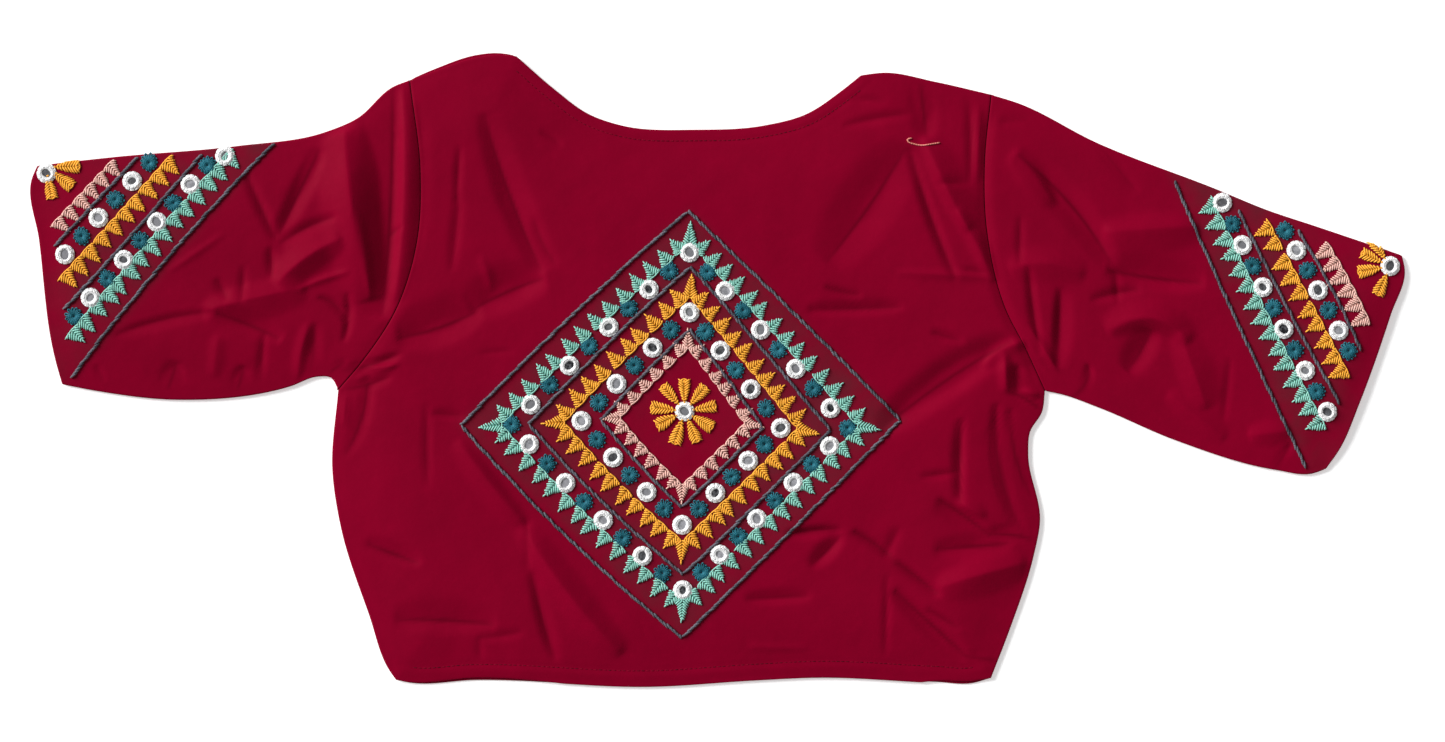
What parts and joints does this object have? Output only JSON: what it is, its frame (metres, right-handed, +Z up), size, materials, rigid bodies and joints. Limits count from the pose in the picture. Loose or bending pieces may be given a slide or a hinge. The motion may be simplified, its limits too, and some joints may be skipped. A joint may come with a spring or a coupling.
{
  "type": "choli blouse",
  "caption": "Crimson choli blouse with elbow sleeves and a mirror-work diamond, laid flat with its back up.",
  "frame": {"origin": "middle of the bounding box, on the surface that the blouse lies on", "axes": "+Z up from the surface, +Y towards the neck, +X towards the wearer's right sleeve (right in the picture)"},
  "size_m": [0.866, 0.399, 0.0095],
  "materials": {
    "cotton": "matte",
    "mirror": "polished"
  },
  "bodies": {
    "root": {"back": "cotton", "front_left": "cotton", "front_right": "cotton", "sleeve_left": "cotton", "sleeve_right": "cotton", "mirror_back_01": "mirror", "mirror_back_02": "mirror", "mirror_back_03": "mirror", "mirror_back_04": "mirror", "mirror_back_05": "mirror", "mirror_back_06": "mirror", "mirror_back_07": "mirror", "mirror_back_08": "mirror", "mirror_back_09": "mirror", "mirror_back_10": "mirror", "mirror_back_11": "mirror", "mirror_back_12": "mirror", "mirror_back_13": "mirror", "mirror_back_14": "mirror", "mirror_back_15": "mirror", "mirror_back_16": "mirror", "mirror_back_17": "mirror", "mirror_back_18": "mirror", "mirror_back_19": "mirror", "mirror_back_20": "mirror", "mirror_back_21": "mirror", "mirror_back_22": "mirror", "mirror_back_23": "mirror", "mirror_back_24": "mirror", "mirror_back_25": "mirror", "mirror_back_26": "mirror", "mirror_back_27": "mirror", "mirror_back_28": "mirror", "mirror_back_29": "mirror", "mirror_back_30": "mirror", "mirror_back_31": "mirror", "mirror_left_01": "mirror", "mirror_left_02": "mirror", "mirror_left_03": "mirror", "mirror_left_04": "mirror", "mirror_left_05": "mirror", "mirror_left_06": "mirror", "mirror_left_07": "mirror", "mirror_left_08": "mirror", "mirror_left_09": "mirror", "mirror_right_01": "mirror", "mirror_right_02": "mirror", "mirror_right_03": "mirror", "mirror_right_04": "mirror", "mirror_right_05": "mirror", "mirror_right_06": "mirror", "mirror_right_07": "mirror", "mirror_right_08": "mirror", "mirror_right_09": "mirror", "mirror_right_10": "mirror"}
  },
  "joints": []
}
